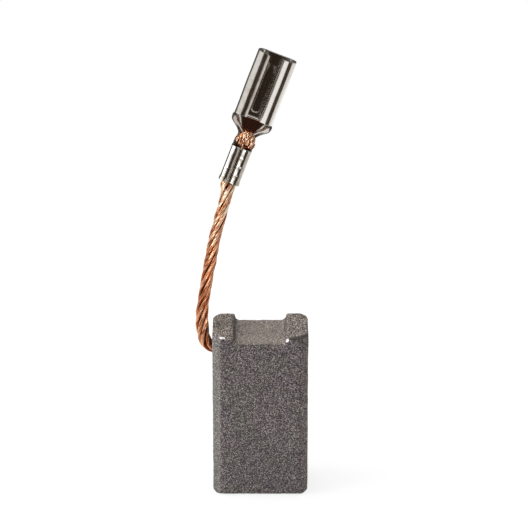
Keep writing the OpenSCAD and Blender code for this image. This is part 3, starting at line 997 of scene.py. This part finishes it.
def crimp():
    """Two wings folded over the wires, so that they press down the middle like a B."""
    corner = CRIMP_CORNER_R - SHEET / 2
    flat = CRIMP_W / 2 - CRIMP_CORNER_R
    # the left wing has a flat pressed on its flank, the right one is a plain lobe
    left_end, left = bent_path(
        [(flat, 0), arc(corner, 90), (0.62, 0), arc(0.15, 42), (0.15, 0), arc(0.12, 44), (0.06, 0), arc(0.25, 92), (0.12, 0)]
    )
    right_end, right = bent_path([(flat, 0), arc(corner, 90), (0.67, 0), arc(0.22, 90), arc(0.38, 84), (0.08, 0)])
    z = edge_steps(CRIMP_L, 0.05)
    s = edge_steps(left_end + right_end, 0.035) - left_end
    x_left, y_left = left(np.maximum(-s, 0))
    x_right, y_right = right(np.maximum(s, 0))
    x = np.where(s < 0, -x_left, x_right)
    section = np.stack((x, MID_Y + np.where(s < 0, y_left, y_right)), -1)
    to_tip = np.minimum(s + left_end, right_end - s)
    outward = unit(np.stack((-np.gradient(section[:, 1]), np.gradient(section[:, 0])), -1))
    middle = np.empty((len(z), len(s), 3))
    # a bell at the wire's end keeps the crimp from cutting into the rope
    bell = 0.05 * (1 - smooth_step(z / 0.45)) + 0.025 * smooth_step((z - CRIMP_L + 0.3) / 0.3)
    folded = (to_tip > 0.5)[None, :]
    spread = bell[:, None] * folded
    middle[..., :2] = section + outward * spread[..., None]
    middle[..., 2] = z[:, None]
    # marks of the crimping tool on the wings
    marks = [(0.42, 0.75, 0.055), (0.44, 1.5, 0.07), (0.36, 2.25, 0.04), (-0.40, 1.15, 0.03)]
    top = smooth_step((-middle[..., 1] - 0.2) / 0.2)
    for mark_x, mark_z, depth in marks:
        way = np.hypot((middle[..., 0] - mark_x) / 0.12, (middle[..., 2] - mark_z) / 0.09)
        middle[..., 1] += top * depth * np.exp(-(way**2))
    shape = middle.reshape(-1, 3)
    middle[..., 1] += (0.012 * grain(shape, 12, 0.5)).reshape(middle.shape[:2])
    to_end = np.minimum(z, CRIMP_L - z)[:, None]
    to_edge = np.minimum(to_tip[None, :], to_end)
    points, faces, _ = sheet_solid(middle, np.maximum(to_edge, 0))
    sheared = np.broadcast_to(1 - smooth_step(to_end / EDGE_R), middle.shape[:2]).reshape(-1)
    return points, faces, np.concatenate((sheared, sheared))


def tab_stop():
    """The rib across the base that stops the tab."""
    radius = 0.12
    x = np.linspace(-ROLL_X, ROLL_X, 40)
    line = np.stack((x, np.full(40, BASE_Y - SHEET), np.full(40, ROLLS_Z + 0.02)), -1)
    along = np.tile((1.0, 0.0, 0.0), (40, 1))
    ends = np.clip((1 - abs(x) / ROLL_X) / 0.12, 0.05, 1) ** 0.5
    points, faces = tube(line, along, radius * ends, 20)
    return points, faces, np.zeros(len(points))


def tin_material():
    made, nodes = material("tinned_brass")
    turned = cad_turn()
    along_grain = millimetres(nodes, stretch=(1.0, 1.0, 0.06), turn=turned)
    place = millimetres(nodes, turn=turned)
    edge = nodes.add("ShaderNodeAttribute", output=2, attribute_name="edge")
    worn_and_shaded = nodes.add("ShaderNodeAttribute", output=2, attribute_name="worn_and_shaded")
    rubbed = nodes.add("ShaderNodeAttribute", output=2, attribute_name="rubbed")
    trough_shade = nodes.add("ShaderNodeAttribute", output=2, attribute_name="trough_shade")
    inner_shade = nodes.add("ShaderNodeAttribute", output=2, attribute_name="inner_shade")
    bright = nodes.add("ShaderNodeAttribute", output=2, attribute_name="bright")
    scratches = nodes.noise(along_grain, 22.0, 3.0, 0.6)
    patch = nodes.noise(place, 1.1, 3.0, 0.6)
    colour = nodes.mix(nodes.span(patch, 0.42, 0.68), rgb(0.80, 0.77, 0.735), rgb(0.68, 0.62, 0.55))
    colour = nodes.mix(nodes.span(scratches, 0.6, 0.75, 0.0, 0.35), colour, rgb(0.45, 0.39, 0.34))
    # the right half of the receptacle is paler: painted light
    colour = nodes.mix(nodes.math("MULTIPLY", bright, 0.8), colour, rgb(0.98, 0.955, 0.92))
    colour = nodes.mix(nodes.math("MULTIPLY", edge, 0.95), colour, rgb(0.075, 0.07, 0.055))
    # the right-hand flanks of the wings: tool wear and painted shade
    colour = nodes.mix(nodes.math("MULTIPLY", worn_and_shaded, 0.75), colour, rgb(0.40, 0.35, 0.29))
    # painted shade inside the receptacle
    colour = nodes.mix(inner_shade, colour, rgb(0.44, 0.41, 0.36))
    # painted reddish shade on the floor of the trough, for the copper mirrored in it
    colour = nodes.mix(trough_shade, colour, rgb(0.46, 0.23, 0.18))
    rough = nodes.span(scratches, 0.35, 0.7, 0.14, 0.27)
    rough = nodes.math("MAXIMUM", rough, nodes.math("MULTIPLY", edge, 0.55))
    rough = nodes.math("MAXIMUM", rough, nodes.math("MULTIPLY", rubbed, 0.75))
    bump = nodes.add("ShaderNodeBump", {"Strength": 0.12, "Distance": 0.00001, "Height": scratches})
    surface = nodes.add(
        "ShaderNodeBsdfPrincipled",
        {
            "Base Color": colour,
            "Metallic": nodes.math("SUBTRACT", 1.0, nodes.math("MULTIPLY", rubbed, 0.7)),
            "Roughness": rough,
            "Normal": bump,
        },
    )
    nodes.add("ShaderNodeOutputMaterial", {"Surface": surface})
    return made


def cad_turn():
    """The turn that takes the part's frame into the terminal's, for its grain."""
    axes = placed(np.eye(3)) - placed(np.zeros((1, 3)))
    return tuple(Matrix(axes.tolist()).to_euler("XYZ"))


def make_terminal():
    folded = receptacle()
    pieces = [folded[:3], trough(), crimp(), tab_stop()]
    points, faces = join([(points, faces) for points, faces, _ in pieces])
    edge = np.concatenate([mask for _, _, mask in pieces])
    rubbed = np.zeros(len(points))
    rubbed[: len(folded[3])] = folded[3]
    # painted shade inside the receptacle, and on the floor of the trough a painted reddish shade that stands for
    # the copper mirrored in it
    x, y, z = points.T
    inner = smooth_step((y - BASE_Y + SHEET + 0.25) / 0.1) * (y < MID_Y)
    inner_shade = inner * smooth_step((ROLL_X - abs(x)) / 0.15) * smooth_step((z - ROLLS_Z - 0.1) / 0.1)
    part = np.clip((z - CRIMP_L) / TROUGH_L, 0, 1)
    flat = CRIMP_W / 2 - CRIMP_CORNER_R
    half = flat + (ROLL_X - flat) * part**2
    trough_shade = inner * smooth_step((half + 0.05 - abs(x)) / 0.12) * (z > CRIMP_L + 0.1) * (z < ROLLS_Z - 0.02)
    # painted light: the right half of the receptacle gets a paler colour
    bright = smooth_step(x / 0.3) * (z > ROLLS_Z)
    # the right-hand flank of each wing is darker: wear from the crimping tool, and painted shade on the side away
    # from the lamps
    flank = smooth_step((points[:, 0] + 0.38) / 0.1) * (points[:, 0] < 0.0)
    flank = flank + smooth_step((points[:, 0] - 0.55) / 0.15)
    worn_and_shaded = flank * (1 - smooth_step((points[:, 2] - CRIMP_L + 0.1) / 0.3))
    masks = {"edge": edge, "worn_and_shaded": worn_and_shaded, "rubbed": rubbed, "trough_shade": trough_shade, "inner_shade": inner_shade, "bright": bright}
    mesh_piece("folded_terminal", placed(points), faces, tin_material(), ["terminal"], masks, 50)


make_pigtail()
make_block()
make_plug()
make_terminal()
